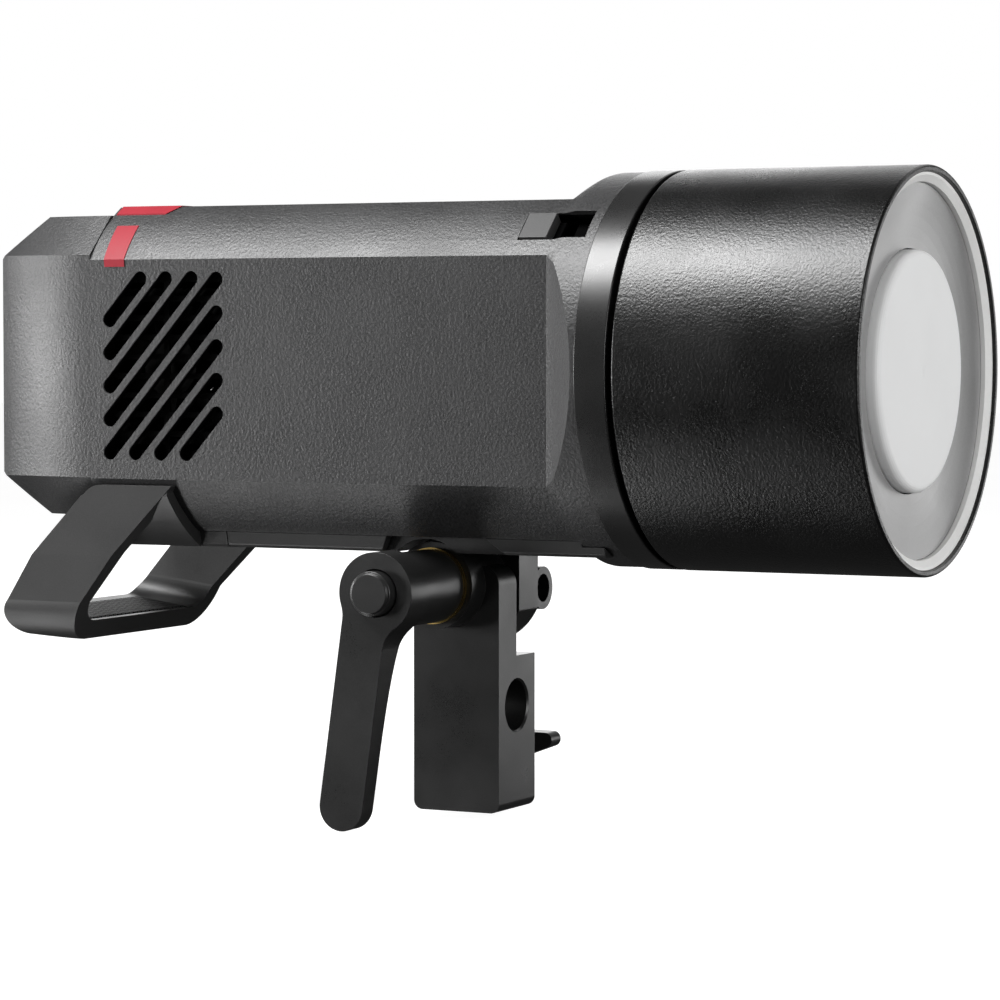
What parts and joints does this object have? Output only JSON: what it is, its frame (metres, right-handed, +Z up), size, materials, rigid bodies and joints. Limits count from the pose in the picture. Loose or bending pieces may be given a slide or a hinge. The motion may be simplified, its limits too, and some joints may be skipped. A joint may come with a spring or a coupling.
{
  "type": "monolight strobe",
  "caption": "Battery monolight strobe with a round frosted head, vented body, rear grip handle, tilting stand bracket, clamp lever and umbrella tube.",
  "frame": {"origin": "centre of the mouth of the vertical 5/8 inch spigot socket in the bracket's bottom face", "axes": "+X along the light's beam, +Z up, lever side is -Y"},
  "size_m": [0.3191, 0.1279, 0.2055],
  "materials": {
    "shell_plastic": "fine spark-eroded grain",
    "trim_plastic": "satin",
    "handle_plastic": "satin grain",
    "grip_rubber": "ribbed",
    "panel_gloss": "gloss",
    "display_glass": "gloss",
    "board": "solder mask",
    "red_trim": "gloss",
    "screen_metal": "black",
    "screw_steel": "blackened",
    "can_sleeve": "sleeved can",
    "fan_plastic": "satin",
    "battery_case": "fine grain",
    "gold_contact": "plated",
    "control_plastic": "satin",
    "key_grey": "satin",
    "key_red": "translucent look",
    "port_metal": "bright",
    "jack_plastic": "satin",
    "head_paint": "fine sparkle",
    "head_cast": "black anodised",
    "lip_white": "satin",
    "reflector_metal": "satin pebbled",
    "dome_glass": "frosted",
    "tube_glass": "clear",
    "led_yellow": "phosphor",
    "sink_metal": "milled",
    "base_ceramic": "matt",
    "bracket_paint": "black powder coat",
    "friction_steel": "ground",
    "washer_brass": "turned",
    "lever_plastic": "satin"
  },
  "bodies": {
    "bracket": {"stand_bracket": "bracket_paint", "friction_disc": "friction_steel"},
    "lamp": {"left_shell": "shell_plastic", "right_shell": "shell_plastic", "rear_cover": "shell_plastic", "control_panel": "panel_gloss", "display_window": "display_glass", "display_board": "board", "bottom_rail": "trim_plastic", "tilt_lug": "bracket_paint", "lug_screws": "screw_steel", "handle": "handle_plastic", "grip_pad": "grip_rubber", "handle_screws": "screw_steel", "cover_screws": "screw_steel", "red_side_accent": "red_trim", "red_top_tab": "red_trim", "vent_screens": "screen_metal", "mount_ring": "trim_plastic", "contact_block": "trim_plastic", "main_board": "board", "capacitor_cans": "can_sleeve", "fan_housing": "fan_plastic", "battery_bay": "trim_plastic", "battery_terminals": "gold_contact", "sync_jack": "jack_plastic", "usb_port": "port_metal"},
    "head": {"head_barrel": "head_paint", "lip_ring": "lip_white", "reflector_dish": "reflector_metal", "glass_dome": "dome_glass", "flash_tube": "tube_glass", "modeling_led": "led_yellow", "led_heat_sink": "sink_metal", "tube_base": "base_ceramic", "head_base": "head_cast"},
    "lever": {"clamp_lever": "lever_plastic", "lever_cap": "lever_plastic", "tilt_stud": "friction_steel", "brass_washer": "washer_brass"},
    "lock_screw": {"spigot_screw": "friction_steel"},
    "lock_knob": {"spigot_knob": "lever_plastic"},
    "fan": {"fan_impeller": "fan_plastic"},
    "battery": {"battery_pack": "battery_case"},
    "latch": {"battery_latch": "battery_case"},
    "slider": {"lock_slider": "trim_plastic"},
    "dial": {"control_dial": "control_plastic"},
    "dial_push": {"dial_button": "key_grey"},
    "power_key": {"power_button": "key_grey"},
    "test_key": {"test_button": "key_red"},
    "mode_key": {"mode_button": "control_plastic"},
    "menu_key": {"menu_button": "control_plastic"},
    "group_key": {"group_button": "control_plastic"},
    "sync_key": {"sync_button": "control_plastic"}
  },
  "joints": [
    {"name": "lamp_tilt", "type": "hinge", "parent": "bracket", "child": "lamp", "pos_m": [-0.0034, 0, 0.073], "axis": [0, 1, 0], "range_deg": [-60, 45]},
    {"name": "lever_turn", "type": "hinge", "parent": "bracket", "child": "lever", "pos_m": [-0.0034, 0, 0.073], "axis": [0, 1, 0], "range_deg": [-30, 60]},
    {"name": "screw_advance", "type": "slide", "parent": "bracket", "child": "lock_screw", "axis": [0, -1, 0], "range_m": [0, 0.0025]},
    {"name": "knob_turn", "type": "hinge", "parent": "lock_screw", "child": "lock_knob", "pos_m": [0, 0.022, 0.0175], "axis": [0, -1, 0], "range_deg": [0, 720]},
    {"name": "head_twist", "type": "hinge", "parent": "lamp", "child": "head", "pos_m": [0.0703, 0, 0.1415], "axis": [1, 0, 0], "range_deg": [0, 20]},
    {"name": "fan_spin", "type": "hinge", "parent": "lamp", "child": "fan", "pos_m": [-0.0867, -0.038, 0.1425], "axis": [0, 1, 0], "continuous": true},
    {"name": "battery_slide", "type": "slide", "parent": "lamp", "child": "battery", "axis": [0, 1, 0], "range_m": [0, 0.045]},
    {"name": "latch_press", "type": "slide", "parent": "battery", "child": "latch", "axis": [0, -1, 0], "range_m": [0, 0.002], "stiffness_N_per_m": 500, "springref_m": -0.001},
    {"name": "slider_release", "type": "slide", "parent": "lamp", "child": "slider", "axis": [1, 0, 0], "range_m": [0, 0.01], "stiffness_N_per_m": 150, "springref_m": -0.004},
    {"name": "dial_turn", "type": "hinge", "parent": "lamp", "child": "dial", "pos_m": [-0.1567, 0, 0.1215], "axis": [-1, 0, 0], "continuous": true},
    {"name": "dial_press", "type": "slide", "parent": "dial", "child": "dial_push", "axis": [1, 0, 0], "range_m": [0, 0.0008], "stiffness_N_per_m": 600, "springref_m": -0.0004},
    {"name": "power_press", "type": "slide", "parent": "lamp", "child": "power_key", "axis": [1, 0, 0], "range_m": [0, 0.0008], "stiffness_N_per_m": 600, "springref_m": -0.0004},
    {"name": "test_press", "type": "slide", "parent": "lamp", "child": "test_key", "axis": [1, 0, 0], "range_m": [0, 0.0008], "stiffness_N_per_m": 600, "springref_m": -0.0004},
    {"name": "mode_press", "type": "slide", "parent": "lamp", "child": "mode_key", "axis": [1, 0, 0], "range_m": [0, 0.0008], "stiffness_N_per_m": 600, "springref_m": -0.0004},
    {"name": "menu_press", "type": "slide", "parent": "lamp", "child": "menu_key", "axis": [1, 0, 0], "range_m": [0, 0.0008], "stiffness_N_per_m": 600, "springref_m": -0.0004},
    {"name": "group_press", "type": "slide", "parent": "lamp", "child": "group_key", "axis": [1, 0, 0], "range_m": [0, 0.0008], "stiffness_N_per_m": 600, "springref_m": -0.0004},
    {"name": "sync_press", "type": "slide", "parent": "lamp", "child": "sync_key", "axis": [1, 0, 0], "range_m": [0, 0.0008], "stiffness_N_per_m": 600, "springref_m": -0.0004}
  ],
  "couplings": [
    {"joint": "screw_advance", "follows": "knob_turn", "m_per_rad": 0.0001989}
  ]
}
